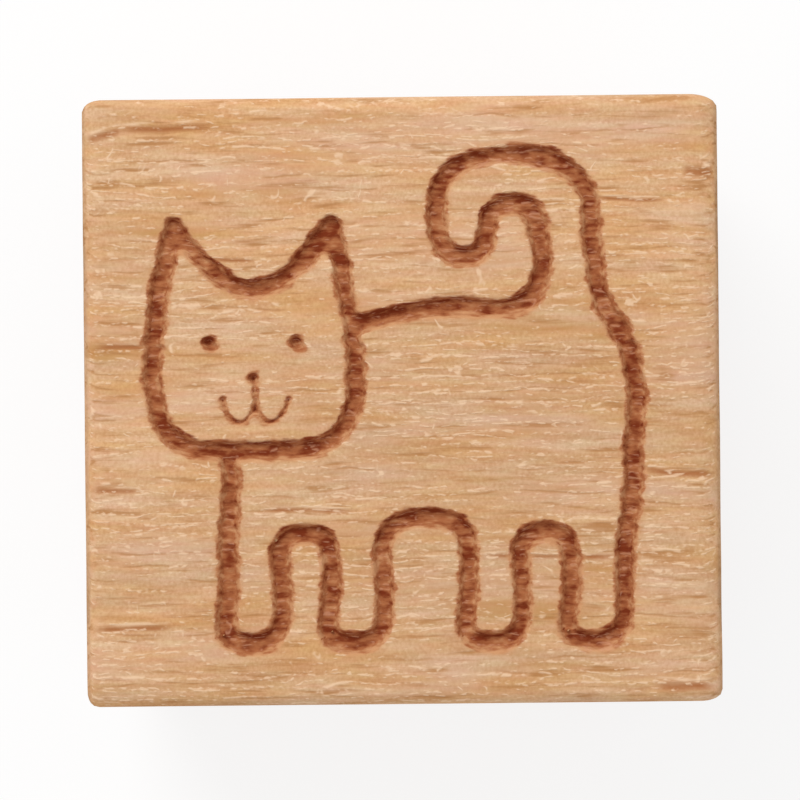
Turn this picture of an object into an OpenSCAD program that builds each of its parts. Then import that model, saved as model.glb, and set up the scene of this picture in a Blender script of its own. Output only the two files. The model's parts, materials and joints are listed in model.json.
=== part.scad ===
// A small craft stamp with a wooden handle block. The block stands on a foam cushion and a
// rubber die, and two double-sided adhesive films hold the layers together. A cat is burnt
// into the top of the block and stands out of the die in relief, so that the top shows what
// the die prints. The cushion squeezes when the stamp is pressed, and the die rises with it.
// The frame has +Z up, X along the wood's grain, and its origin at the middle of the
// printing plane that the stamp stands on.

/* [Wood block] */
// Width of the block, along the grain
block_w = 25; // [25:0.1:32]
// Depth of the block, across the grain
block_d = 23.9; // [23.9:0.1:32]
// Thickness of the wood
block_h = 15; // [8:0.5:25]
// Radius of the sanded edges
edge_r = 0.6; // [0.3:0.05:1]

/* [Engraving] */
// Depth of the burnt lines
engraving_depth = 0.3; // [0.1:0.05:0.6]
// Width of the burnt lines
engraving_line = 1.1; // [0.8:0.05:1.15]

/* [Cushion and films] */
// Thickness of the foam cushion
cushion_h = 2; // [1.5:0.1:4]
// Thickness of each adhesive film
film_h = 0.1; // [0.05:0.05:0.2]
// How far the layers under the block stay inside its sides
inset = 0.5; // [0.2:0.1:0.9]

/* [Rubber die] */
// Thickness of the die's sheet, under the relief
sheet_h = 1.1; // [0.8:0.1:2]
// Height of the relief's wide shoulder
shoulder_h = 0.7; // [0.4:0.1:1]
// Height of the printing lines above the shoulder
print_h = 0.5; // [0.3:0.1:0.8]
// Width of the printing lines
print_line = 0.85; // [0.6:0.05:0.9]
// Width of the shoulder under them
shoulder_line = 1.15; // [0.95:0.05:1.15]

/* [Hidden] */

// Heights of the layers, from the printing plane up
relief_top = print_h + shoulder_h;
die_top = relief_top + sheet_h;
cushion_bottom = die_top + film_h;
cushion_top = cushion_bottom + cushion_h;
block_bottom = cushion_top + film_h;
block_top = block_bottom + block_h;

layer_w = block_w - 2 * inset;
layer_d = block_d - 2 * inset;
layer_corner_r = 0.8;
// Cuts run this far past the face that they start from
overshoot = 1;
round_fn = 48;

// The cat stands side-on with its face to the viewer. Sizes and places are in millimetres
// from the middle of the block. Each outline is the list of its control points: the line
// runs smoothly inside them, and starts and ends on the first and the last.
steps = 8;
end_steps = 8;
face_x = -5.8;
chin_y = -1.9;
ear_tip = [3.1, 6.9];
leg_half = 1;
toe = 0.35;
foot_y = -9.5;
shin_y = -7.3;
gap_y = -5.2;
belly_y = -4.6;
legs = [7.6, 3.6, -1.8, -5.8];
eye_r = 0.45;
eye_at = [1.7, 2.3];
nose_r = 0.38;
nose_y = 0.9;
mouth_line_share = 0.45;

brow = [[face_x - ear_tip.x, ear_tip.y], [face_x - 1.3, 4.4], [face_x + 1.3, 4.4],
        [face_x + ear_tip.x, ear_tip.y]];
cheeks_and_chin = [[face_x - ear_tip.x, ear_tip.y], [-10.1, 1.9], [-9.3, chin_y], [face_x, chin_y],
                   [-2.3, chin_y], [-1.5, 1.9], [face_x + ear_tip.x, ear_tip.y]];
back_and_tail = [[-1.95, 2.9], [1, 3.9], [5.6, 3.3], [5.5, 7.7], [3.4, 7.7], [3.4, 5.6],
                 [1.4, 5.6], [1.4, 9.6], [7.5, 9.6], [7.5, 4.2]];
rump = [[9.3, 1.6], [9, -3.5]];
mouth = [[face_x - 1.3, 0.1], [face_x - 1.1, -0.8], [face_x, -0.8], [face_x, nose_y]];

// Control points of one leg, from its right side round the foot to its left side
function leg(x) = [[x + leg_half, shin_y], [x + leg_half, foot_y],
                   [x - leg_half - toe, foot_y], [x - leg_half, shin_y]];
// Control points of the gap between a leg at x_right and the next one at x_left
function gap(x_right, x_left, y) = [[x_right - leg_half, y], [x_left + leg_half, y]];

body = concat(back_and_tail, rump,
              leg(legs[0]), gap(legs[0], legs[1], gap_y),
              leg(legs[1]), gap(legs[1], legs[2], belly_y),
              leg(legs[2]), gap(legs[2], legs[3], gap_y),
              leg(legs[3]), [[legs[3] - leg_half, chin_y]]);

// A smooth line inside the control points p is a chain of parabolas, one to each inner
// control point, which meet halfway between neighbours
function first_knot(p, i) = i == 1 ? p[0] : (p[i - 1] + p[i]) / 2;
function last_knot(p, i) = i == len(p) - 2 ? p[i + 1] : (p[i] + p[i + 1]) / 2;
function on_parabola(a, b, c, t) = (1 - t) * (1 - t) * a + 2 * t * (1 - t) * b + t * t * c;
function direction(a, b, c, t) = let (d = (1 - t) * (b - a) + t * (c - b)) d / norm(d);
function left_of(d) = [-d.y, d.x];
// One side of the line, at the distance offset to its left
function side(p, offset) =
    [for (i = [1 : len(p) - 2])
        let (a = first_knot(p, i), c = last_knot(p, i))
            for (k = [0 : i == len(p) - 2 ? steps : steps - 1])
                on_parabola(a, p[i], c, k / steps) + offset * left_of(direction(a, p[i], c, k / steps))];
// The points of a half circle round an end, between the line's two sides. outward is the
// direction in which the line ends.
function round_end(end, outward, radius) =
    [for (k = [1 : end_steps - 1])
        let (a = 90 - 180 * k / end_steps)
            end + radius * (cos(a) * outward + sin(a) * left_of(outward))];
function reversed(list) = [for (i = [len(list) - 1 : -1 : 0]) list[i]];
function mirrored(p) = [for (point = p) [2 * face_x - point.x, point.y]];

// A line of one width with round ends
module stroke(p, width) {
    last = len(p) - 1;
    start_heading = (p[1] - p[0]) / norm(p[1] - p[0]);
    end_heading = (p[last] - p[last - 1]) / norm(p[last] - p[last - 1]);
    polygon(concat(side(p, width / 2), round_end(p[last], end_heading, width / 2),
                   reversed(side(p, -width / 2)), round_end(p[0], -start_heading, width / 2)));
}

// The whole picture, drawn with lines of one width
module cat(width) {
    for (line = [brow, cheeks_and_chin, body]) stroke(line, width);
    for (half = [mouth, mirrored(mouth)]) stroke(half, width * mouth_line_share);
    for (turn = [-1, 1])
        translate([face_x + turn * eye_at.x, eye_at.y]) circle(r = eye_r, $fn = round_fn);
    translate([face_x, nose_y]) circle(r = nose_r, $fn = round_fn);
}

module rounded_rectangle(w, d, r) {
    square([w - 2 * r, d], center = true);
    square([w, d - 2 * r], center = true);
    for (x = [-1, 1], y = [-1, 1])
        translate([x * (w / 2 - r), y * (d / 2 - r)]) circle(r = r, $fn = round_fn);
}

// A box whose edges are all round: the space common to three prisms with round edges
module eased_box(w, d, h, r) {
    intersection() {
        linear_extrude(h) rounded_rectangle(w, d, r);
        translate([0, d / 2, h / 2]) rotate([90, 0, 0])
            linear_extrude(d) rounded_rectangle(w, h, r);
        translate([-w / 2, 0, h / 2]) rotate([90, 0, 90])
            linear_extrude(w) rounded_rectangle(d, h, r);
    }
}

// A flat layer with the outline that all the layers under the block share
module layer(bottom, h) {
    translate([0, 0, bottom])
        linear_extrude(h) rounded_rectangle(layer_w, layer_d, layer_corner_r);
}

// Handle block of pale hardwood, with the cat burnt into its top
module wood_block() {
    color("burlywood")
        difference() {
            translate([0, 0, block_bottom]) eased_box(block_w, block_d, block_h, edge_r);
            translate([0, 0, block_top - engraving_depth])
                linear_extrude(engraving_depth + overshoot) cat(engraving_line);
        }
}

// Double-sided film between the block and the cushion
module block_film() {
    color("ghostwhite") layer(cushion_top, film_h);
}

// Closed-cell foam that evens out the pressure on the die
module foam_cushion() {
    color("whitesmoke") layer(cushion_bottom, cushion_h);
}

// Double-sided film between the cushion and the die
module die_film() {
    color("ghostwhite") layer(die_top, film_h);
}

// Rubber sheet with the cat standing out of it, on a shoulder that is wider than the lines
module rubber_die() {
    color("indianred") {
        layer(relief_top, sheet_h);
        translate([0, 0, print_h]) linear_extrude(shoulder_h) cat(shoulder_line);
        linear_extrude(print_h) cat(print_line);
    }
}

wood_block();
block_film();
foam_cushion();
die_film();
rubber_die();
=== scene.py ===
"""Looks of a small wood-mounted craft stamp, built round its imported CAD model.

Three pieces get detailed meshes in place of their CAD nodes: the engraved wood block, the foam
cushion and the rubber die. Each one is a slab whose top and underside are lattices of square
cells, small where the surface has detail. The two adhesive films keep their CAD meshes. Lengths
are metres, in the frame of the CAD model, and the shaders work in millimetres.
"""

import json
import math
from typing import NamedTuple

import bpy
import numpy as np
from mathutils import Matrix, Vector, noise
from mathutils.bvhtree import BVHTree


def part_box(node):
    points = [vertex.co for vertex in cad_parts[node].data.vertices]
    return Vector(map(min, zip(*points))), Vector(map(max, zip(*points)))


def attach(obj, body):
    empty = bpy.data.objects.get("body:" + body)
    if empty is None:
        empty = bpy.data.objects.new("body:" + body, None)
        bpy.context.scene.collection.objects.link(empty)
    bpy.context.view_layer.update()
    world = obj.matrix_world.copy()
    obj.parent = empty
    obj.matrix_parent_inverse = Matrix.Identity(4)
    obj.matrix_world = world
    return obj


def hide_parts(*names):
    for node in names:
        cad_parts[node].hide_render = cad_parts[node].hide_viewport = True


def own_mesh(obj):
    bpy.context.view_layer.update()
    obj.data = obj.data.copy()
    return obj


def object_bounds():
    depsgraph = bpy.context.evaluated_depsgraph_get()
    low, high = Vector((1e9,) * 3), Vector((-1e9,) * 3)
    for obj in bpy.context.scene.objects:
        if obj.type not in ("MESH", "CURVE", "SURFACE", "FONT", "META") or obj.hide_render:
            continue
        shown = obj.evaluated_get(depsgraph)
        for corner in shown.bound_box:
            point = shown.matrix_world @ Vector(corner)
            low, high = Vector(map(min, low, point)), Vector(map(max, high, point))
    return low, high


class Noise(NamedTuple):
    """A pattern of soft noise. In a shader it is about 0.5, and read as spots it is nothing up to
    the level low, and has its full strength from the level high on."""

    waves: tuple  # per millimetre, along X, Y and Z
    seed: float
    detail: float = 0
    low: float = 0
    high: float = 1
    strength: float = 1


class Rows(NamedTuple):
    """Thin wavy lines along X. All but the seed are millimetres."""

    pitch: float
    width: float
    sway: float
    seed: float


MM = 0.001
SEED = 7

# Lattices: cells are merged into blocks of BLOCK x BLOCK where there is nothing to show
BLOCK = 4
WOOD_CELL = 0.06 * MM
DIE_CELL = 0.07 * MM
FOAM_CELL = 0.07 * MM
SIDE_ROW = 0.5 * MM

# How near to each other two heights, two corners and two surfaces count as the same, in metres
LEVEL_WITHIN = 1e-7
SAME_HEIGHT = 1e-6
HEIGHT_DECIMALS = 6
CORNER_DECIMALS = 7
TOUCHING = 1e-8
NOT_ZERO = 1e-12

# Round edges of the wood block
EDGE_RADIUS = 0.6 * MM
EDGE_STEPS = 3
EDGE_RADIUS_CHANGE = 0.1 * MM
EDGE_WAVES = Noise((0.11, 0.11, 0.11), seed=3)
# How far the rounding of each upright edge runs along X and along Y, in millimetres
FRONT_LEFT_RUN = (0.45, 0.6)
FRONT_RIGHT_RUN = (0.9, 0.45)
BACK_LEFT_RUN = (0.8, 0.6)
BACK_RIGHT_RUN = (1.15, 0.55)

# Surface of the wood block
SIDE_WAVE = 0.03 * MM
SIDE_WAVES = Noise((0.16, 0.45, 0.25), seed=4)
SURFACE_WAVE = 0.01 * MM
SURFACE_WAVES = Noise((0.15, 0.6, 0), seed=6)
FIBRE_RIDGE = 0.04 * MM
FIBRE_WAVES = Noise((0.9, 5, 0), seed=5)

# Burnt grooves: their walls, and the rows in which they were engraved
GROOVE_WALL = 0.3 * MM
GROOVE_MARGIN = 0.1 * MM
GROOVE_INSET = 0.1 * MM
GROOVE_REACH = 1 * MM
GROOVE_WIDTH_CHANGE = 0.09 * MM
GROOVE_WAVES = Noise((0.45, 0.45, 0), seed=9)
SCAN_ROW = 0.38 * MM
SCAN_ROW_CHANGE = 0.9
SCAN_WAVES = Noise((0, 0.8, 0), seed=8)
SCAN_JITTER = 0.07 * MM
SCAN_BLEND = 0.6
# Painted shade lies against the rear edge of each burnt line, and painted light along its front: a
# short step to the rear, in metres, tells the two sides apart
REAR_SHADE_STEP = np.array((-0.015 * MM, 0.1 * MM))

# Long dark lines of the grain on the block's top, in millimetres: x and y of both ends, and
# half the width
GRAIN_LINES = (
    ((-12.4, 10.3), (-10.7, 10.7), 0.26),
    ((-11.4, 10.65), (-7.0, 10.85), 0.24),
    ((-8.1, 5.6), (-5.4, 5.55), 0.14),
    ((-12.3, 2.2), (-8.8, 2.15), 0.2),
    ((-5.9, -4.2), (-1.6, -4.35), 0.15),
    ((-12.3, -3.4), (-10.2, -3.45), 0.17),
    ((-12.3, -8.85), (-8.9, -8.8), 0.2),
    ((11.0, 8.9), (12.4, 8.8), 0.35),
    ((7.3, 7.85), (10.6, 7.75), 0.14),
    ((8.9, -2.8), (12.4, -3.05), 0.2),
    ((2.6, -6.1), (8.9, -6.2), 0.17),
    ((9.6, -11.25), (12.2, -11.35), 0.3),
)
LINE_DEPTH = 0.03 * MM
LINE_WOBBLE = 0.06 * MM
LINE_WAVES = Noise((0.7, 0.1, 0), seed=2)
# Each line tapers over this share of its length at both ends
LINE_TAPER = 1 / 4
# A pale lip runs along the rear of each line, in half widths of the line: a painted highlight, in the
# colour of frayed fibre, on the side the light comes from
HIGHLIGHT_OFF = 0.9
HIGHLIGHT_SPREAD = 0.5
# The lattice is fine over this many half widths of a line
LINE_MARGIN = 2

# Rubber die: its relief rises in a slope with soft ends, rough where it was cut away
LAYER_RADIUS = 0.8 * MM
CUT_ROW = 0.2 * MM
SHOULDER_RUN = 0.62 * MM
SHOULDER_SOFTNESS = 0.65
ROUGH_FROM = 1 / 3
DIE_FLOOR_WAVE = 0.02 * MM
DIE_FLOOR_WAVES = Noise((3, 3, 0), seed=7)
DIE_SHARP_ANGLE = math.radians(50)

# Foam cushion
FOAM_BUBBLE = 0.3 * MM
FOAM_WALL = 0.4
FOAM_PIT = 0.1 * MM
FOAM_WAIST = 0.06 * MM
FOAM_SHARP_ANGLE = math.radians(60)

# Camera, light and floor
PICTURE_WIDTH = 31.35 * MM
PICTURE_TURN = math.radians(-0.6)
PICTURE_MIDDLE = (-0.08 * MM, 0.02 * MM)
LENS = 200
SENSOR = 36
NEAREST = 0.01
KEY_FROM = (-0.3, 0.6, 0.65)
KEY_DISTANCE = 0.5
KEY_SIZE = 0.3
KEY_POWER = 1.3
SKY_STRENGTH = 0.7
SKY_SEEN = 0.955
FLOOR_SIZE = 1.6
FLOOR_GAP = 0.02 * MM
FLOOR_REFLECTS = 0.2
FLOOR_GLOW = 0.79


# ---------------------------------------------------------------------------- shader nodes

# How far a row of lines drifts across, as a share of its sway
ROW_DRIFT = Noise((0.35, 0.9, 0.9), seed=0, detail=4)


class Shader:
    """One material's node tree, with a short call for each kind of node that it uses."""

    def __init__(self, name):
        self.material = bpy.data.materials.new(name)
        self.material.use_nodes = True
        self.nodes = self.material.node_tree.nodes
        self.links = self.material.node_tree.links
        self.surface = self.nodes["Principled BSDF"]
        self.coordinates = self.add("ShaderNodeTexCoord")
        self.place = self.times(self.coordinates.outputs["Object"], (1 / MM, 1 / MM, 1 / MM))

    def add(self, kind, **settings):
        node = self.nodes.new(kind)
        for setting, value in settings.items():
            setattr(node, setting, value)
        return node

    def feed(self, socket, value):
        if isinstance(value, bpy.types.NodeSocket):
            self.links.new(value, socket)
        else:
            socket.default_value = value

    def vector(self, operation, a, b):
        node = self.add("ShaderNodeVectorMath", operation=operation)
        self.feed(node.inputs[0], a)
        self.feed(node.inputs[1], b)
        return node.outputs[0]

    def times(self, a, b):
        """A vector, colour or number times another."""
        return self.vector("MULTIPLY", a, b)

    def length(self, vector):
        node = self.add("ShaderNodeVectorMath", operation="LENGTH")
        self.feed(node.inputs[0], vector)
        return node.outputs["Value"]

    def split(self, vector):
        node = self.add("ShaderNodeSeparateXYZ")
        self.feed(node.inputs[0], vector)
        return node.outputs

    def join(self, x, y, z):
        node = self.add("ShaderNodeCombineXYZ")
        for socket, value in zip(node.inputs, (x, y, z)):
            self.feed(socket, value)
        return node.outputs[0]

    def maths(self, operation, a, b=0.0):
        node = self.add("ShaderNodeMath", operation=operation)
        self.feed(node.inputs[0], a)
        self.feed(node.inputs[1], b)
        return node.outputs[0]

    def noise(self, pattern, place=None):
        """A pattern's plain noise, about 0.5."""
        node = self.add("ShaderNodeTexNoise", noise_dimensions="4D")
        self.feed(node.inputs["Vector"], self.times(place or self.place, pattern.waves))
        for socket, value in (("W", pattern.seed), ("Scale", 1.0), ("Detail", pattern.detail)):
            node.inputs[socket].default_value = value
        return node.outputs["Fac"]

    def patches(self, pattern, outside, inside, place=None):
        """A number that goes smoothly from outside a pattern's spots to inside them."""
        return self.step(self.noise(pattern, place), pattern.low, pattern.high, outside, inside)

    def spots(self, pattern, place=None):
        """A pattern's spots, from 0 between them to the pattern's strength."""
        return self.patches(pattern, 0, pattern.strength, place)

    def swing(self, pattern, place=None):
        """A pattern's noise about 0, times the pattern's strength."""
        centred = self.maths("SUBTRACT", self.noise(pattern, place), 0.5)
        return self.maths("MULTIPLY", centred, pattern.strength)

    def near_middle(self, value, width):
        """1 where value is 0.5, and 0 where it is width or more off."""
        off = self.maths("ABSOLUTE", self.maths("SUBTRACT", value, 0.5))
        return self.step(off, 0, width, 1, 0)

    def rows(self, rows):
        """1 along each of the thin wavy lines, and 0 between them."""
        drift = self.noise(ROW_DRIFT._replace(seed=rows.seed))
        _, y, z = self.split(self.place)
        across = self.maths("ADD", self.maths("ADD", y, z), self.maths("MULTIPLY", drift, rows.sway))
        row = self.maths("FRACT", self.maths("DIVIDE", across, rows.pitch))
        return self.near_middle(row, rows.width / rows.pitch)

    def bubbles(self, pitch):
        """Distance to the nearest of points scattered about pitch millimetres apart, in pitches."""
        node = self.add("ShaderNodeTexVoronoi")
        self.feed(node.inputs["Vector"], self.place)
        node.inputs["Scale"].default_value = 1 / pitch
        return node.outputs["Distance"]

    def step(self, value, low, high, to_low=0.0, to_high=1.0):
        """A smooth step from to_low, where value is at low, to to_high."""
        node = self.add("ShaderNodeMapRange", interpolation_type="SMOOTHSTEP")
        for socket, number in zip(node.inputs, (value, low, high, to_low, to_high)):
            self.feed(socket, number)
        return node.outputs[0]

    def between(self, share, a, b):
        """A number that goes smoothly from a, where share is 0, to b, where it is 1."""
        return self.step(share, 0, 1, a, b)

    def mix(self, share, a, b):
        """Colour a where share is 0, and b where it is 1."""
        node = self.add("ShaderNodeMix", data_type="RGBA")
        sockets = [socket for socket in node.inputs if socket.type == "RGBA"]
        self.feed(node.inputs["Factor"], share)
        for socket, colour in zip(sockets, (a, b)):
            self.feed(socket, colour if isinstance(colour, bpy.types.NodeSocket) else (*colour, 1))
        return next(socket for socket in node.outputs if socket.type == "RGBA")

    def attribute(self, name):
        return self.add("ShaderNodeAttribute", attribute_name=name).outputs["Fac"]

    def bump(self, height, distance):
        """Bump from a height of 0 to 1, which stands for distance metres."""
        node = self.add("ShaderNodeBump")
        node.inputs["Distance"].default_value = distance
        self.feed(node.inputs["Height"], height)
        self.links.new(node.outputs[0], self.surface.inputs["Normal"])

    def finish(self, colour, roughness):
        self.feed(self.surface.inputs["Base Color"], colour)
        self.feed(self.surface.inputs["Roughness"], roughness)
        return self.material


# ------------------------------------------------------------------------ wood and its burns

# Bare wood: its tones, then patches of other colours over them
WOOD_LIGHT = (0.75, 0.465, 0.265)
WOOD_DEEP = (0.55, 0.292, 0.137)
WOOD_TONE = Noise((0.35, 3.6, 3.6), seed=3, detail=4, low=0.06, high=0.94)
WOOD_GRIT = Noise((8, 8, 8), seed=12, detail=1, strength=0.75)
WOOD_ROSY = (0.67, 0.39, 0.245)
ROSY_PATCHES = Noise((0.12, 0.5, 0.5), seed=2, detail=3, low=0.46, high=0.7, strength=0.6)
WOOD_AMBER = (0.53, 0.258, 0.09)
AMBER_PATCHES = Noise((0.09, 0.9, 0.9), seed=1, detail=3, low=0.55, high=0.72)
AMBER_ON_SIDES = 0.8
AMBER_ON_ENDS = 0.25
WARMTH = Noise((0.18, 1.1, 1.1), seed=18, detail=6, low=0.2, high=0.8)
COOL_TINT = (1.035, 1.15, 1.37)
WARM_TINT = (0.96, 0.85, 0.65)
BLUSH = Noise((0.8, 4, 4), seed=19, detail=3, low=0.2, high=0.8)
PALE_TINT = (1, 1.08, 1.05)
RED_TINT = (1, 0.94, 0.96)
TINT_LOSS_ON_ENDS = 0.75
SHADE = Noise((0.05, 0.13, 0.13), seed=33, detail=1, low=0.3, high=0.7)
SHADE_CHANGE = 0.05
END_SHADE = 0.84

# The surface is end grain where its normal's X lies between these
END_GRAIN_LOW = 0.5
END_GRAIN_HIGH = 0.95
# The grain sways along Y and Z, in millimetres
SWAY = 1.2
SWAYS = (
    Noise((0.07, 0.2, 0.2), seed=21, detail=1),
    Noise((0.07, 0.2, 0.2), seed=22, detail=1),
)

# Growth rings and rays about the pith, in millimetres. Each ring darkens towards its end.
PITH = (0, 5, -24)
RING_WIDTH = 1.9
RING_DARK_FROM = 0.5
RING_DARK_TO = 0.96
RING_SHADE = 0.84
RING_ON_SIDES = 0.3
RAYS_PER_RADIAN = 130
RAY_WAVES_PER_MM = 0.3
RAYS = Noise((1, 1, 1), seed=9, detail=1, low=0.45, high=0.7)
RAY_SHINE = 1.14

# Dark pores: blurred ones, and thin broken lines that don't show on the ends
WOOD_STREAK = (0.45, 0.205, 0.075)
BLURRED_PORES = Noise((0.45, 4, 4), seed=4, detail=2, low=0.54, high=0.74, strength=0.85)
PORE_LINES = Rows(pitch=0.53, width=0.085, sway=0.9, seed=16)
PORE_DASHES = Noise((0.4, 3, 3), seed=16.5, detail=2, low=0.5, high=0.64)
PORE_LINE_SHARE = 0.65

# The long dark lines of the grain fade here and there, and so does the painted highlight along the lip
# of each
WOOD_LINE = (0.40, 0.15, 0.055)
LINE_FADES = Noise((0.7, 3, 3), seed=5, detail=2, low=0.3, high=0.6)
LINE_LEAST = 0.65
HIGHLIGHT_BREAKS = Noise((0.9, 4, 4), seed=25, detail=2, low=0.38, high=0.62, strength=0.75)

# Pale flecks of frayed fibre: two sets of broken rows, denser in some lanes, and a few hairs
WOOD_FLECK = (0.90, 0.64, 0.43)
FLECK_ROWS = (
    (Rows(pitch=0.43, width=0.08, sway=1.0, seed=7),
     Noise((3, 5, 5), seed=7.5, detail=1, low=0.5, high=0.66)),
    (Rows(pitch=0.31, width=0.066, sway=1.5, seed=27),
     Noise((3.6, 6, 6), seed=27.5, detail=1, low=0.52, high=0.68)),
)
FLECK_LANES = Noise((0.15, 1, 1), seed=14, detail=1, low=0.3, high=0.7)
LANE_CHANGE = 0.08
HAIRS = Noise((1, 1, 1), seed=17, detail=1)
HAIR_WIDTH = 0.035
HAIR_PLACES = Noise((2.2, 2.2, 2.2), seed=17.5, low=0.68, high=0.78)
FLECKS_STOP_AT = 0.3
FLECK_SHARE = 0.64
BURNT_FLECK_SHARE = 0.5

# Burnt lines. Lengths are millimetres out from the edge of the burn, and so less than 0 in it
BURN_DARK = (0.195, 0.034, 0.011)
BURN_MIDDLE = (0.405, 0.14, 0.055)
BURN_PALE = (0.605, 0.305, 0.147)
BURN_FIBRE = (0.66, 0.33, 0.20)
DARK_TO_MIDDLE = (0.22, 0.5)
MIDDLE_TO_PALE = (0.45, 0.73)
BURN_FRAY = Noise((1.1, 3, 3), seed=6, detail=3, strength=0.5)
BURN_EDGE = (0.05, -0.06)
SCORCH_WIDTH = 0.2
SCORCH_SHARE = 0.35
BURN_TONE = Noise((1.4, 4.2, 4.2), seed=11, detail=4)
BURN_BLOTCHES = Noise((1.4, 1.7, 1.7), seed=13, detail=2, strength=0.55)
BURN_RIM = (-0.34, -0.08)
RIM_TONES = (-0.12, 0.08)
# Painted shade along the rear edge of each burnt line, and painted light along its front: on which
# side, how far in from the edge, and how strong
PAINTED_SHADE_SIDE = (0, 0.9)
PAINTED_SHADE_FROM_EDGE = (-0.36, -0.16)
PAINTED_SHADE_SHARE = 0.2
PAINTED_LIGHT_SIDE = (-0.1, -0.9)
PAINTED_LIGHT_FROM_EDGE = (-0.34, 0)
PAINTED_LIGHT_SHARE = 0.06

# Fine relief and sheen of the wood
GRAIN = Noise((1.2, 7, 7), seed=8, detail=3, low=0.3, high=0.7)
GRAIN_RISE = 0.7
FLECK_RISE = 0.4
PORE_RISE = -0.6
WOOD_BUMP = 0.025 * MM
WOOD_ROUGHNESS = (0.7, 0.9)
WOOD_SPECULAR = 0.02


def wood_patches(s, fibres, end_grain):
    """Bare wood: soft tones, with rosy, amber, warmer and redder patches."""
    tone = s.maths("ADD", s.noise(WOOD_TONE, fibres), s.swing(WOOD_GRIT, fibres))
    colour = s.mix(s.step(tone, WOOD_TONE.low, WOOD_TONE.high), WOOD_DEEP, WOOD_LIGHT)
    colour = s.mix(s.spots(ROSY_PATCHES, fibres), colour, WOOD_ROSY)
    amber_share = s.between(end_grain, AMBER_ON_SIDES, AMBER_ON_ENDS)
    amber = s.maths("MULTIPLY", s.spots(AMBER_PATCHES, fibres), amber_share)
    colour = s.mix(amber, colour, WOOD_AMBER)
    tinted = s.times(colour, s.mix(s.spots(WARMTH, fibres), COOL_TINT, WARM_TINT))
    tinted = s.times(tinted, s.mix(s.spots(BLUSH, fibres), PALE_TINT, RED_TINT))
    colour = s.mix(s.between(end_grain, 0, TINT_LOSS_ON_ENDS), tinted, colour)
    return s.times(colour, s.patches(SHADE, 1 - SHADE_CHANGE, 1 + SHADE_CHANGE))


def rings_and_rays(s, fibres, end_grain):
    """How bright growth rings and rays leave the wood. They show best on the ends."""
    from_pith = s.times(s.vector("SUBTRACT", fibres, PITH), (0, 1, 1))
    radius = s.length(from_pith)
    share_of_ring = s.maths("FRACT", s.maths("DIVIDE", radius, RING_WIDTH))
    ring = s.step(share_of_ring, RING_DARK_FROM, RING_DARK_TO)
    ring = s.times(ring, s.between(end_grain, RING_ON_SIDES, 1))
    _, across, up = s.split(from_pith)
    around = s.maths("MULTIPLY", s.maths("ARCTAN2", across, up), RAYS_PER_RADIAN)
    outward = s.maths("MULTIPLY", radius, RAY_WAVES_PER_MM)
    rays = s.times(s.noise(RAYS, s.join(0, around, outward)), end_grain)
    shine = s.step(rays, RAYS.low, RAYS.high, 1, RAY_SHINE)
    return s.times(s.between(ring, 1, RING_SHADE), shine)


def wood_pores(s, fibres, end_grain):
    """Dark pores of the wood, from 0 between them to 1."""
    lines = s.times(s.rows(PORE_LINES), s.spots(PORE_DASHES))
    lines = s.times(lines, s.between(end_grain, PORE_LINE_SHARE, 0))
    return s.maths("MAXIMUM", s.spots(BLURRED_PORES, fibres), lines)


def pale_flecks(s, end_grain):
    """Pale flecks and hairs of frayed fibre, from 0 between them to 1. The ends have none."""
    lanes = s.patches(FLECK_LANES, LANE_CHANGE, -LANE_CHANGE)
    flecks = s.times(s.near_middle(s.noise(HAIRS), HAIR_WIDTH), s.spots(HAIR_PLACES))
    for rows, breaks in FLECK_ROWS:
        level = s.maths("SUBTRACT", s.noise(breaks), lanes)
        broken = s.times(s.rows(rows), s.step(level, breaks.low, breaks.high))
        flecks = s.maths("MAXIMUM", flecks, broken)
    return s.times(flecks, s.step(end_grain, 0, FLECKS_STOP_AT, 1, 0))


def burn_colour(s, fibres, edge):
    """The burnt lines: streaked by fibres, with painted shade against their rear edge and painted
    light at the front.
    """
    tone = s.maths("ADD", s.noise(BURN_TONE, fibres), s.swing(BURN_BLOTCHES, fibres))
    tone = s.maths("ADD", tone, s.step(edge, *BURN_RIM, *RIM_TONES))
    # Painted shade darkens each line along its rear edge, and painted light makes it paler along its
    # front
    side = s.attribute("burn_side")
    painted_shade = s.times(s.step(side, *PAINTED_SHADE_SIDE), s.step(edge, *PAINTED_SHADE_FROM_EDGE))
    painted_light = s.times(s.step(side, *PAINTED_LIGHT_SIDE), s.step(edge, *PAINTED_LIGHT_FROM_EDGE))
    tone = s.maths("SUBTRACT", tone, s.maths("MULTIPLY", painted_shade, PAINTED_SHADE_SHARE))
    tone = s.maths("ADD", tone, s.maths("MULTIPLY", painted_light, PAINTED_LIGHT_SHARE))
    dark_to_middle = s.mix(s.step(tone, *DARK_TO_MIDDLE), BURN_DARK, BURN_MIDDLE)
    return s.mix(s.step(tone, *MIDDLE_TO_PALE), dark_to_middle, BURN_PALE)


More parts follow.
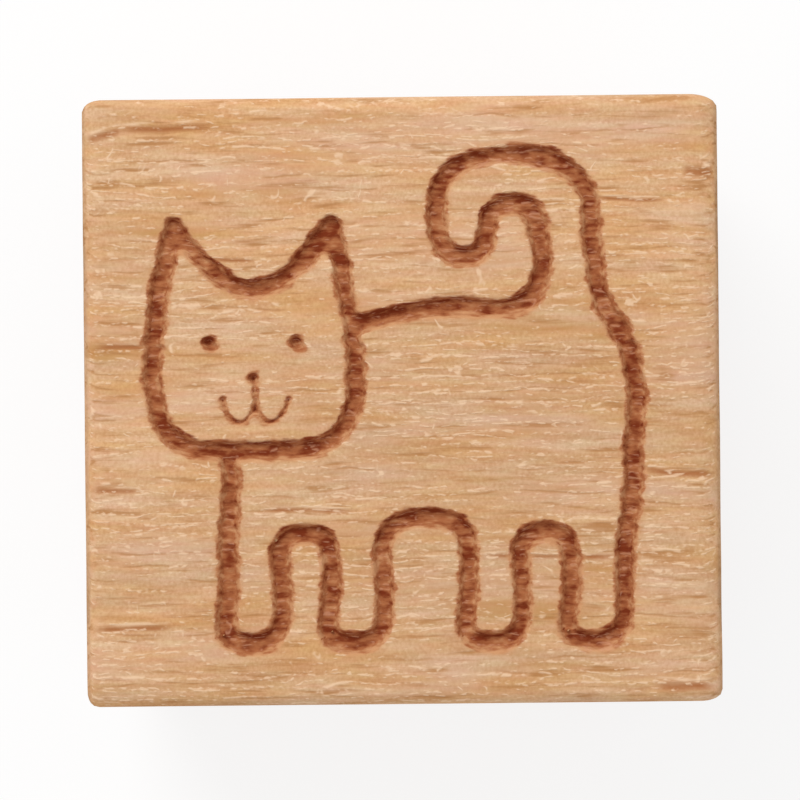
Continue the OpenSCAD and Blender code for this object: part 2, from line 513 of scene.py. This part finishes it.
def wood_material():
    """Fine sanded, unvarnished hardwood with its grain along X, and burnt lines in its top."""
    s = Shader("hardwood")
    sway = [s.maths("MULTIPLY", s.noise(pattern), SWAY) for pattern in SWAYS]
    fibres = s.vector("ADD", s.place, s.join(0, *sway))
    normal_x = s.maths("ABSOLUTE", s.split(s.coordinates.outputs["Normal"])[0])
    end_grain = s.step(normal_x, END_GRAIN_LOW, END_GRAIN_HIGH)
    colour = s.times(wood_patches(s, fibres, end_grain), rings_and_rays(s, fibres, end_grain))
    pores = wood_pores(s, fibres, end_grain)
    colour = s.times(s.mix(pores, colour, WOOD_STREAK), s.between(end_grain, 1, END_SHADE))

    fading = s.patches(LINE_FADES, LINE_LEAST, 1, fibres)
    colour = s.mix(s.maths("MULTIPLY", s.attribute("grain_line"), fading), colour, WOOD_LINE)
    # Painted highlight along the rear lip of each dark grain line, broken up
    colour = s.mix(s.times(s.attribute("grain_lip"), s.spots(HIGHLIGHT_BREAKS, fibres)), colour, WOOD_FLECK)

    edge = s.maths("ADD", s.attribute("burn_edge"), s.swing(BURN_FRAY))
    colour = s.mix(s.step(edge, SCORCH_WIDTH, 0, 0, SCORCH_SHARE), colour, BURN_PALE)
    burnt = s.step(edge, *BURN_EDGE)
    colour = s.mix(burnt, colour, burn_colour(s, fibres, edge))

    flecks = pale_flecks(s, end_grain)
    colour = s.mix(s.times(flecks, s.between(burnt, FLECK_SHARE, 0)), colour, WOOD_FLECK)
    colour = s.mix(s.times(flecks, s.between(burnt, 0, BURNT_FLECK_SHARE)), colour, BURN_FIBRE)

    grain = s.noise(GRAIN, fibres)
    rises = ((flecks, FLECK_RISE), (pores, PORE_RISE), (grain, GRAIN_RISE))
    parts = [s.maths("MULTIPLY", share, rise) for share, rise in rises]
    s.bump(s.maths("ADD", s.maths("ADD", parts[0], parts[1]), parts[2]), WOOD_BUMP)
    s.surface.inputs["Specular IOR Level"].default_value = WOOD_SPECULAR
    return s.finish(colour, s.step(grain, GRAIN.low, GRAIN.high, *WOOD_ROUGHNESS))


# -------------------------------------------------------------------------- other materials

FILM_CLEAR = (0.80, 0.79, 0.74)
FILM_MILKY = (0.62, 0.60, 0.54)
FILM_CLOUDS = Noise((0.9, 0.9, 6), seed=31, detail=3, low=0.35, high=0.7)
FILM_DUST = (0.42, 0.36, 0.28)
FILM_DUST_SPECKS = Noise((7, 7, 9), seed=32, detail=1, low=0.66, high=0.74, strength=0.5)
FILM_BUMP = 0.01 * MM
FILM_ROUGHNESS = (0.18, 0.4)

# Foam: white walls, and the painted shade of its hollows
FOAM_WHITE = (0.83, 0.82, 0.775)
FOAM_SHADED = (0.745, 0.735, 0.69)
FOAM_FINE_PITCH = 0.13
FOAM_FINE_HOLLOW_SHADE = (0.1, 0.6, 0.3, 0)
FOAM_FINE_WALL = 0.6
FOAM_PATCHES = Noise((0.5, 0.5, 0.9), seed=41, detail=3, low=0.3, high=0.7)
FOAM_PATCH_SHADES = (0.93, 1.03)
FOAM_BUMP = 0.02 * MM
FOAM_ROUGHNESS = (0.95, 0.8)

RUBBER_FACE = (0.44, 0.10, 0.065)
RUBBER_FACE_WORN = (0.50, 0.125, 0.08)
RUBBER_PATCHES = Noise((0.35, 0.35, 0.35), seed=52, detail=2, low=0.35, high=0.65)
RUBBER_CUT = (0.42, 0.11, 0.075)
RUBBER_CUT_PALE = (0.52, 0.165, 0.112)
RUBBER_SPECKLE = Noise((5, 5, 5), seed=51, detail=3, low=0.35, high=0.68)
RUBBER_DUST = (0.68, 0.36, 0.27)
RUBBER_DUST_SPECKS = Noise((9, 9, 9), seed=53, detail=1, low=0.66, high=0.76)
RUBBER_DUST_SHARE = 0.6
# Rubber is cut away from here on, in millimetres from the edge of the printing lines
RUBBER_CUT_FROM = (0, 0.06)
RUBBER_ROW = 0.25
RUBBER_ROW_RISE = 0.12
RUBBER_FACE_RISE = 0.15
RUBBER_BUMP = 0.04 * MM
RUBBER_ROUGHNESS = (0.42, 0.86)


def film_material():
    """Edge of a clear, slightly milky adhesive film."""
    s = Shader("adhesive_film")
    colour = s.mix(s.spots(FILM_CLOUDS), FILM_CLEAR, FILM_MILKY)
    colour = s.mix(s.spots(FILM_DUST_SPECKS), colour, FILM_DUST)
    s.bump(s.noise(FILM_CLOUDS), FILM_BUMP)
    return s.finish(colour, s.patches(FILM_CLOUDS, *FILM_ROUGHNESS))


def foam_material():
    """White closed-cell foam: its cut cells are hollows, with painted shade that leaves them a little
    greyer than the walls between.
    """
    s = Shader("foam")
    fine = s.bubbles(FOAM_FINE_PITCH)
    # Painted shade in the hollows: the deeper, the greyer
    depth = s.maths("ADD", s.attribute("hollow"), s.step(fine, *FOAM_FINE_HOLLOW_SHADE))
    colour = s.mix(s.between(depth, 0, 1), FOAM_WHITE, FOAM_SHADED)
    colour = s.times(colour, s.patches(FOAM_PATCHES, *FOAM_PATCH_SHADES))
    s.bump(s.step(fine, 0, FOAM_FINE_WALL), FOAM_BUMP)
    return s.finish(colour, s.step(fine, 0, FOAM_FINE_WALL, *FOAM_ROUGHNESS))


def rubber_material():
    """Brick-red rubber: satin on the printing lines, dull and dusty where it was cut away."""
    s = Shader("die_rubber")
    cut = s.step(s.attribute("print_edge"), *RUBBER_CUT_FROM)
    speckle = s.noise(RUBBER_SPECKLE)
    rows = s.maths("SINE", s.maths("MULTIPLY", s.split(s.place)[1], math.tau / RUBBER_ROW))
    face = s.mix(s.spots(RUBBER_PATCHES), RUBBER_FACE, RUBBER_FACE_WORN)
    floor = s.mix(s.spots(RUBBER_SPECKLE), RUBBER_CUT, RUBBER_CUT_PALE)
    colour = s.mix(cut, face, floor)
    dust = s.times(s.spots(RUBBER_DUST_SPECKS), s.maths("MULTIPLY", cut, RUBBER_DUST_SHARE))
    colour = s.mix(dust, colour, RUBBER_DUST)
    height = s.maths("ADD", speckle, s.maths("MULTIPLY", rows, RUBBER_ROW_RISE))
    s.bump(s.times(height, s.between(cut, RUBBER_FACE_RISE, 1)), RUBBER_BUMP)
    return s.finish(colour, s.between(cut, *RUBBER_ROUGHNESS))


def floor_material():
    """Bright matt floor with a weak shadow. It can be looked through from below."""
    material = bpy.data.materials.new("floor")
    material.use_nodes = True
    nodes = material.node_tree.nodes
    nodes.clear()
    link = material.node_tree.links.new
    diffuse = nodes.new("ShaderNodeBsdfDiffuse")
    diffuse.inputs["Color"].default_value = (FLOOR_REFLECTS, FLOOR_REFLECTS, FLOOR_REFLECTS, 1)
    glow = nodes.new("ShaderNodeEmission")
    glow.inputs["Color"].default_value = (1, 1, 1, 1)
    glow.inputs["Strength"].default_value = FLOOR_GLOW
    both = nodes.new("ShaderNodeAddShader")
    side = nodes.new("ShaderNodeNewGeometry")
    clear = nodes.new("ShaderNodeBsdfTransparent")
    choice = nodes.new("ShaderNodeMixShader")
    output = nodes.new("ShaderNodeOutputMaterial")
    link(diffuse.outputs[0], both.inputs[0])
    link(glow.outputs[0], both.inputs[1])
    link(side.outputs["Backfacing"], choice.inputs[0])
    link(both.outputs[0], choice.inputs[1])
    link(clear.outputs[0], choice.inputs[2])
    link(choice.outputs[0], output.inputs["Surface"])
    return material


# ------------------------------------------------------------------- lattices and slab meshes


class Lattice:
    """Small square cells over a rectangle about the origin."""

    def __init__(self, width, depth, cell):
        self.columns = BLOCK * round(width / cell / BLOCK)
        self.rows = BLOCK * round(depth / cell / BLOCK)
        self.x = np.linspace(-width / 2, width / 2, self.columns + 1)
        self.y = np.linspace(-depth / 2, depth / 2, self.rows + 1)

    def plain(self):
        """No cell has detail."""
        return np.zeros((self.columns, self.rows), bool)

    def middles(self):
        """Middle of every cell, as an array of columns x rows x 2."""
        x = (self.x[1:] + self.x[:-1]) / 2
        y = (self.y[1:] + self.y[:-1]) / 2
        return np.stack(np.meshgrid(x, y, indexing="ij"), axis=-1)


def merged_cells(detail):
    """Cells (i, j, size) that cover a lattice: a block is split only while it holds detail."""
    cells = []

    def split(i, j, size):
        if size == 1 or not detail[i:i + size, j:j + size].any():
            cells.append((i, j, size))
            return
        half = size // 2
        for di in (0, half):
            for dj in (0, half):
                split(i + di, j + dj, half)

    for i in range(0, detail.shape[0], BLOCK):
        for j in range(0, detail.shape[1], BLOCK):
            split(i, j, BLOCK)
    return cells


def corners_of(cells, shape):
    """Marks each lattice point that is a corner of a cell."""
    used = np.zeros((shape[0] + 1, shape[1] + 1), bool)
    i, j, size = np.array(cells).T
    for di in (0, 1):
        for dj in (0, 1):
            used[i + di * size, j + dj * size] = True
    return used


def points_round(i, j, columns, rows, used):
    """The used lattice points round a rectangle of cells, anticlockwise."""
    around = [(i + k, j) for k in range(columns)]
    around += [(i + columns, j + k) for k in range(rows)]
    around += [(i + columns - k, j + rows) for k in range(columns)]
    around += [(i, j + rows - k) for k in range(rows)]
    return [point for point in around if used[point]]


def slab(lattice, top_detail, bottom_detail, levels, fine_rim=False):
    """Points and faces of a closed box: a lattice on its top, another on its underside, and a
    row of faces between each two levels, which run from the top down."""
    layers = [merged_cells(detail) for detail in (top_detail, bottom_detail)]
    used = [corners_of(cells, top_detail.shape) for cells in layers]
    everywhere = np.ones_like(used[0])
    rim = points_round(0, 0, lattice.columns, lattice.rows, everywhere)
    rim = [p for p in rim if fine_rim or used[0][p] or used[1][p]]
    for marks in used:
        for p in rim:
            marks[p] = True

    points, numbers = [], []
    for marks, level in zip(used, (levels[0], levels[-1])):
        i, j = np.nonzero(marks)
        number = np.full(marks.shape, -1)
        number[i, j] = np.arange(len(i)) + sum(len(p) for p in points)
        numbers.append(number)
        points.append(np.column_stack([lattice.x[i], lattice.y[j], np.full(len(i), level)]))
    rim_x = lattice.x[[p[0] for p in rim]]
    rim_y = lattice.y[[p[1] for p in rim]]
    rings = [[numbers[0][p] for p in rim]]
    for level in levels[1:-1]:
        start = sum(len(p) for p in points)
        rings.append(list(range(start, start + len(rim))))
        points.append(np.column_stack([rim_x, rim_y, np.full(len(rim), level)]))
    rings.append([numbers[1][p] for p in rim])

    faces = []
    for cells, marks, number, turned in zip(layers, used, numbers, (False, True)):
        for i, j, size in cells:
            face = [int(number[p]) for p in points_round(i, j, size, size, marks)]
            faces.append(face[::-1] if turned else face)
    for upper, lower in zip(rings[:-1], rings[1:]):
        for k in range(len(rim)):
            after = (k + 1) % len(rim)
            faces.append([int(n) for n in (upper[k], lower[k], lower[after], upper[after])])
    return np.concatenate(points), faces


def new_piece(name, points, faces, material, sharp_angle=None, **attributes):
    """A mesh object with smooth faces and a number per point for each named attribute."""
    mesh = bpy.data.meshes.new(name)
    mesh.from_pydata(points.tolist(), [], faces)
    mesh.polygons.foreach_set("use_smooth", np.ones(len(faces), bool))
    if sharp_angle is not None:
        mesh.set_sharp_from_angle(angle=sharp_angle)
    for label, values in attributes.items():
        attribute = mesh.attributes.new(label, "FLOAT", "POINT")
        attribute.data.foreach_set("value", values.astype(np.float32))
    mesh.materials.append(material)
    piece = bpy.data.objects.new(name, mesh)
    bpy.context.scene.collection.objects.link(piece)
    return piece


def eased(points, low, high, run):
    """Points of a box's surface, moved onto the same box with round edges. Each point has its
    own run of the rounding along X, Y and Z."""
    middle = (low + high) / 2
    core = (high - low) / 2 - run
    inner = np.clip(points - middle, -core, core)
    out = (points - middle - inner) / run
    return middle + inner + out / np.linalg.norm(out, axis=1)[:, None] * run


def rounded_in_plan(points, low, high, radius):
    """Points of a slab, with its four upright edges made round. Also the way out of each."""
    core = (high - low)[:2] / 2 - radius
    inner = np.clip(points[:, :2], -core, core)
    out = points[:, :2] - inner
    length = np.maximum(np.linalg.norm(out, axis=1), NOT_ZERO)
    outward = out / length[:, None]
    moved = points.copy()
    moved[:, :2] = inner + outward * np.abs(out).max(axis=1)[:, None]
    return moved, outward


# -------------------------------------------------------------------- shapes along a surface


def wave(points, pattern):
    """A pattern's noise at each point, from about -1 to 1."""
    scaled = points / MM * pattern.waves + pattern.seed * math.e
    return np.array([noise.noise(Vector(p)) for p in scaled])


def smooth(share):
    """A smooth step from 0 to 1 as share goes from 0 to 1."""
    share = np.clip(share, 0, 1)
    return share * share * (3 - 2 * share)


def flat_heights(node):
    """The heights at which a CAD node has level faces, from the lowest up."""
    corners = triangle_corners(node)
    level = np.ptp(corners[:, :, 2], axis=1) < LEVEL_WITHIN
    return sorted({round(float(z), HEIGHT_DECIMALS) for z in corners[level, 0, 2]})


def triangle_corners(node):
    """The three corners of every triangle of a CAD node."""
    mesh = frame["nodes"][node].data
    mesh.calc_loop_triangles()
    place = np.array([vertex.co for vertex in mesh.vertices])
    return place[np.array([triangle.vertices for triangle in mesh.loop_triangles])]


class Outline:
    """The level faces of a CAD node at one height, and how far a point is from their edge."""

    def __init__(self, node, height):
        corners = triangle_corners(node)
        level = (np.abs(corners[:, :, 2] - height) < SAME_HEIGHT).all(axis=1)
        flat = corners[level] * (1, 1, 0)
        self.area = self.tree(flat)
        edges = {}
        for triangle in flat:
            ends = [tuple(np.round(corner, CORNER_DECIMALS)) for corner in triangle]
            for k in range(3):
                edge = frozenset((ends[k], ends[(k + 1) % 3]))
                edges[edge] = edges.get(edge, 0) + 1
        rim = np.array([tuple(edge) for edge, count in edges.items() if count == 1 and len(edge) == 2])
        down = rim - (0, 0, MM)
        up = rim + (0, 0, MM)
        self.rim = self.tree(np.concatenate([
            np.stack([down[:, 0], down[:, 1], up[:, 1]], axis=1),
            np.stack([down[:, 0], up[:, 1], up[:, 0]], axis=1),
        ]))

    def tree(self, corners):
        """A search tree of triangles, from their corners."""
        numbers = np.arange(len(corners) * 3).reshape(-1, 3)
        return BVHTree.FromPolygons(corners.reshape(-1, 3).tolist(), numbers.tolist())

    def near(self, plan, reach):
        """Whether each point of a plan, an array of x and y, is on the faces or within reach."""
        return np.array([self.area.find_nearest((x, y, 0), reach)[3] is not None for x, y in plan])

    def distance(self, plan, reach):
        """Distance to the faces' edge: less than zero on the faces, and at most reach."""
        found = np.full(len(plan), reach)
        for k, (x, y) in enumerate(plan):
            gap = self.area.find_nearest((x, y, 0), reach)[3]
            if gap is not None:
                found[k] = gap if gap > TOUCHING else -self.rim.find_nearest((x, y, 0))[3]
        return found


def scan_shift(y):
    """How far each row of the engraving is off to one side. The rows are not quite even, and
    the shift is nearly the same along a row, with a change to the next one's."""
    level = np.column_stack([y * 0, y, y * 0])
    row = y / SCAN_ROW + SCAN_ROW_CHANGE * wave(level, SCAN_WAVES)
    first = np.floor(row).astype(int)
    shifts = np.random.default_rng(SEED).uniform(-1, 1, np.ptp(first) + 2)
    share = smooth((row - first - 1 + SCAN_BLEND) / SCAN_BLEND)
    index = first - first.min()
    return SCAN_JITTER * ((1 - share) * shifts[index] + share * shifts[index + 1])


def on_grain_lines(plan, spread=1, off=0):
    """1 along the middle of each long dark line of the grain, and 0 away from them all. The
    lines can be spread, and moved off to the rear by so many half widths."""
    share = np.zeros(len(plan))
    x, y = plan.T
    wobble = LINE_WOBBLE * wave(np.column_stack([x, y, y * 0]), LINE_WAVES)
    for *ends, half_width in GRAIN_LINES:
        (x0, y0), (x1, y1) = np.array(ends) * MM
        half = half_width * MM
        along = (x - x0) / (x1 - x0)
        middle = y0 + along * (y1 - y0) + wobble + off * half
        taper = smooth(along / LINE_TAPER) * smooth((1 - along) / LINE_TAPER)
        share = np.maximum(share, taper * smooth(1 - np.abs(y - middle) / (spread * half)))
    return share


# ------------------------------------------------------------------------------- the pieces


def corners_of_box(node):
    """The lowest and the highest corner of a CAD node's box."""
    return [np.array(corner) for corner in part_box(node)]


def put_in_place(piece, node):
    """The piece stands for its CAD node: it rides on the node's body, and the node is hidden."""
    bodies = frame["record"]["behaviour"]["bodies"]
    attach(piece, next(body for body, nodes in bodies.items() if node in nodes))
    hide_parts(node)


def rows_between(top, bottom, row):
    """Heights from the top down, about row apart."""
    return np.linspace(top, bottom, round((top - bottom) / row) + 1)


def edge_runs(points, low, high):
    """How far the block's round edges run along X, Y and Z near each point."""
    right, back = ((points - low) / (high - low))[:, :2].T[:, :, None]
    front_runs = (1 - right) * FRONT_LEFT_RUN + right * FRONT_RIGHT_RUN
    back_runs = (1 - right) * BACK_LEFT_RUN + right * BACK_RIGHT_RUN
    runs = ((1 - back) * front_runs + back * back_runs) * MM
    return np.column_stack([runs, np.full(len(points), EDGE_RADIUS)])


def make_wood_block():
    """The handle block, with round sanded edges, the burnt picture and lines of the grain."""
    low, high = corners_of_box("wood_block")
    groove_floor, top = flat_heights("wood_block")[-2:]
    picture = Outline("wood_block", groove_floor)
    lattice = Lattice(*(high - low)[:2], WOOD_CELL)
    middles = lattice.middles().reshape(-1, 2)
    detail = picture.near(middles, GROOVE_MARGIN) | (on_grain_lines(middles, LINE_MARGIN) > 0)
    edge_row = EDGE_RADIUS / EDGE_STEPS
    levels = np.concatenate([
        rows_between(high[2], high[2] - EDGE_RADIUS, edge_row)[:-1],
        rows_between(high[2] - EDGE_RADIUS, low[2] + EDGE_RADIUS, SIDE_ROW)[:-1],
        rows_between(low[2] + EDGE_RADIUS, low[2], edge_row),
    ])
    raw, faces = slab(lattice, detail.reshape(lattice.columns, lattice.rows), lattice.plain(), levels)

    run = edge_runs(raw, low, high) + EDGE_RADIUS_CHANGE * wave(raw, EDGE_WAVES)[:, None]
    points = eased(raw, low, high, run)
    dent = SIDE_WAVE * (1 + wave(points, SIDE_WAVES)) / 2
    outward = points - np.clip(points, low + EDGE_RADIUS, high - EDGE_RADIUS)
    outward[:, 2] = 0
    points -= outward / EDGE_RADIUS * dent[:, None]

    on_top = raw[:, 2] == high[2]
    plan = points[on_top, :2]
    shifted = plan + np.column_stack([scan_shift(plan[:, 1]), np.zeros(len(plan))])
    edge = np.full(len(raw), GROOVE_REACH)
    edge[on_top] = picture.distance(shifted, GROOVE_REACH)
    # Which side of a burnt line each point is on: above 0 at the rear, where shade is painted, and
    # below 0 at the front, where light is painted
    side = np.zeros(len(raw))
    side[on_top] = picture.distance(shifted + REAR_SHADE_STEP, GROOVE_REACH) - edge[on_top]
    side /= np.linalg.norm(REAR_SHADE_STEP)
    edge[on_top] += GROOVE_INSET
    edge[on_top] += GROOVE_WIDTH_CHANGE * wave(points[on_top], GROOVE_WAVES)
    line = np.zeros(len(raw))
    line[on_top] = on_grain_lines(plan)
    # Painted highlight along the rear of each dark grain line
    lip = np.zeros(len(raw))
    lip[on_top] = on_grain_lines(plan, HIGHLIGHT_SPREAD, HIGHLIGHT_OFF)
    burnt = smooth(-edge / GROOVE_WALL)
    ridges = FIBRE_RIDGE * wave(points, FIBRE_WAVES)
    undulation = SURFACE_WAVE * (1 + wave(points, SURFACE_WAVES))
    sunk = burnt * (top - groove_floor - ridges) + LINE_DEPTH * line + undulation
    points[on_top, 2] -= sunk[on_top]
    points[:, :2] = np.clip(points[:, :2], low[:2], high[:2])

    piece = new_piece("wood_block_engraved", points, faces, wood_material(),
                      burn_edge=edge / MM, burn_side=side, grain_line=line, grain_lip=lip)
    put_in_place(piece, "wood_block")


def make_rubber_die():
    """The die: a cut sheet with the picture in relief, on shoulders that widen upwards."""
    low, high = corners_of_box("rubber_die")
    heights = flat_heights("rubber_die")
    printing = heights[0]
    sheet_bottom = heights[-2]
    picture = Outline("rubber_die", printing)
    lattice = Lattice(*(high - low)[:2], DIE_CELL)
    detail = picture.near(lattice.middles().reshape(-1, 2), SHOULDER_RUN)
    levels = rows_between(high[2], sheet_bottom, CUT_ROW)
    raw, faces = slab(lattice, lattice.plain(), detail.reshape(lattice.columns, lattice.rows), levels)
    points, _ = rounded_in_plan(raw, low, high, LAYER_RADIUS)

    underside = raw[:, 2] == levels[-1]
    edge = np.full(len(raw), SHOULDER_RUN)
    edge[underside] = picture.distance(points[underside, :2], SHOULDER_RUN)
    rise = np.clip(edge / SHOULDER_RUN, 0, 1)
    rough = DIE_FLOOR_WAVE * smooth(rise / ROUGH_FROM) * wave(points, DIE_FLOOR_WAVES)
    slope = (1 - SHOULDER_SOFTNESS) * rise + SHOULDER_SOFTNESS * smooth(rise)
    relief = (sheet_bottom - printing) * slope + rough
    points[underside, 2] = np.minimum(printing + relief, sheet_bottom + DIE_FLOOR_WAVE)[underside]

    piece = new_piece("rubber_die_relief", points, faces, rubber_material(),
                      sharp_angle=DIE_SHARP_ANGLE, print_edge=edge / MM)
    put_in_place(piece, "rubber_die")


def make_foam_cushion():
    """The cushion: die-cut foam with a slight waist, and open cells in its cut sides."""
    low, high = corners_of_box("foam_cushion")
    lattice = Lattice(*(high - low)[:2], FOAM_CELL)
    levels = rows_between(high[2], low[2], FOAM_CELL)
    raw, faces = slab(lattice, lattice.plain(), lattice.plain(), levels, fine_rim=True)
    points, outward = rounded_in_plan(raw, low, high, LAYER_RADIUS)

    height = (raw[:, 2] - low[2]) / (high[2] - low[2])
    between = (raw[:, 2] < high[2]) & (raw[:, 2] > low[2])
    nearest = np.array([noise.voronoi(Vector(p / FOAM_BUBBLE))[0][:2] for p in points[between]])
    hollow = np.zeros(len(raw))
    hollow[between] = smooth(np.diff(nearest, axis=1)[:, 0] / FOAM_WALL)
    inset = FOAM_PIT * hollow + FOAM_WAIST * np.sin(math.pi * height) * between
    points[:, :2] -= outward * inset[:, None]

    piece = new_piece("foam_cushion_cut", points, faces, foam_material(),
                      sharp_angle=FOAM_SHARP_ANGLE, hollow=hollow)
    put_in_place(piece, "foam_cushion")
    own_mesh(piece)


def finish_films():
    """Both adhesive films keep their CAD mesh."""
    material = film_material()
    for name in ("block_film", "die_film"):
        film = frame["nodes"][name]
        film.data.materials.clear()
        film.data.materials.append(material)


# ------------------------------------------------------------------- camera, light and floor


def aimed(name, data, place, target):
    """A camera or lamp at place that looks at target."""
    thing = bpy.data.objects.new(name, data)
    thing.location = place
    thing.rotation_euler = (Vector(target) - Vector(place)).to_track_quat("-Z", "Y").to_euler()
    bpy.context.scene.collection.objects.link(thing)
    return thing


def add_camera(top):
    """A camera straight above the block, so far off that it shows hardly any perspective."""
    data = bpy.data.cameras.new("camera")
    data.lens = LENS
    data.sensor_width = SENSOR
    data.clip_start = NEAREST
    camera = bpy.data.objects.new("camera", data)
    camera.location = (*PICTURE_MIDDLE, top + PICTURE_WIDTH * LENS / SENSOR)
    camera.rotation_euler = (0, 0, PICTURE_TURN)
    bpy.context.scene.collection.objects.link(camera)
    bpy.context.scene.camera = camera


def add_light(target):
    """A large soft lamp from behind and above, in an evenly bright room with a white backdrop."""
    data = bpy.data.lights.new("key", "AREA")
    data.shape = "DISK"
    data.size = KEY_SIZE
    data.energy = KEY_POWER
    away = Vector(KEY_FROM).normalized() * KEY_DISTANCE
    aimed("key", data, target + away, target)

    world = bpy.data.worlds.new("studio")
    world.use_nodes = True
    background = world.node_tree.nodes["Background"]
    background.inputs["Color"].default_value = (1, 1, 1, 1)
    path = world.node_tree.nodes.new("ShaderNodeLightPath")
    strength = world.node_tree.nodes.new("ShaderNodeMapRange")
    strength.inputs["To Min"].default_value = SKY_STRENGTH
    strength.inputs["To Max"].default_value = SKY_SEEN
    world.node_tree.links.new(path.outputs["Is Camera Ray"], strength.inputs["Value"])
    world.node_tree.links.new(strength.outputs[0], background.inputs["Strength"])
    bpy.context.scene.world = world


def add_floor():
    half = FLOOR_SIZE / 2
    corners = [(-half, -half, -FLOOR_GAP), (half, -half, -FLOOR_GAP),
               (half, half, -FLOOR_GAP), (-half, half, -FLOOR_GAP)]
    mesh = bpy.data.meshes.new("floor")
    mesh.from_pydata(corners, [], [(0, 1, 2, 3)])
    mesh.materials.append(floor_material())
    floor = bpy.data.objects.new("floor", mesh)
    bpy.context.scene.collection.objects.link(floor)


with open("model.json") as file:
    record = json.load(file)
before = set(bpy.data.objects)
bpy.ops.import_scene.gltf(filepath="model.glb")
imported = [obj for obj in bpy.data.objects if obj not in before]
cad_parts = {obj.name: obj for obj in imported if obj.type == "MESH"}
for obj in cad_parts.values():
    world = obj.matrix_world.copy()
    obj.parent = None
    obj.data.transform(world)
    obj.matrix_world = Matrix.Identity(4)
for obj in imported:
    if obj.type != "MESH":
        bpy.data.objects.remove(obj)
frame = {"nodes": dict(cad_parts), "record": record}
cad_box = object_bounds()
bpy.context.scene.view_settings.view_transform = "Standard"
make_wood_block()
make_foam_cushion()
make_rubber_die()
finish_films()
add_camera(cad_box[1].z)
add_light((cad_box[0] + cad_box[1]) / 2)
add_floor()
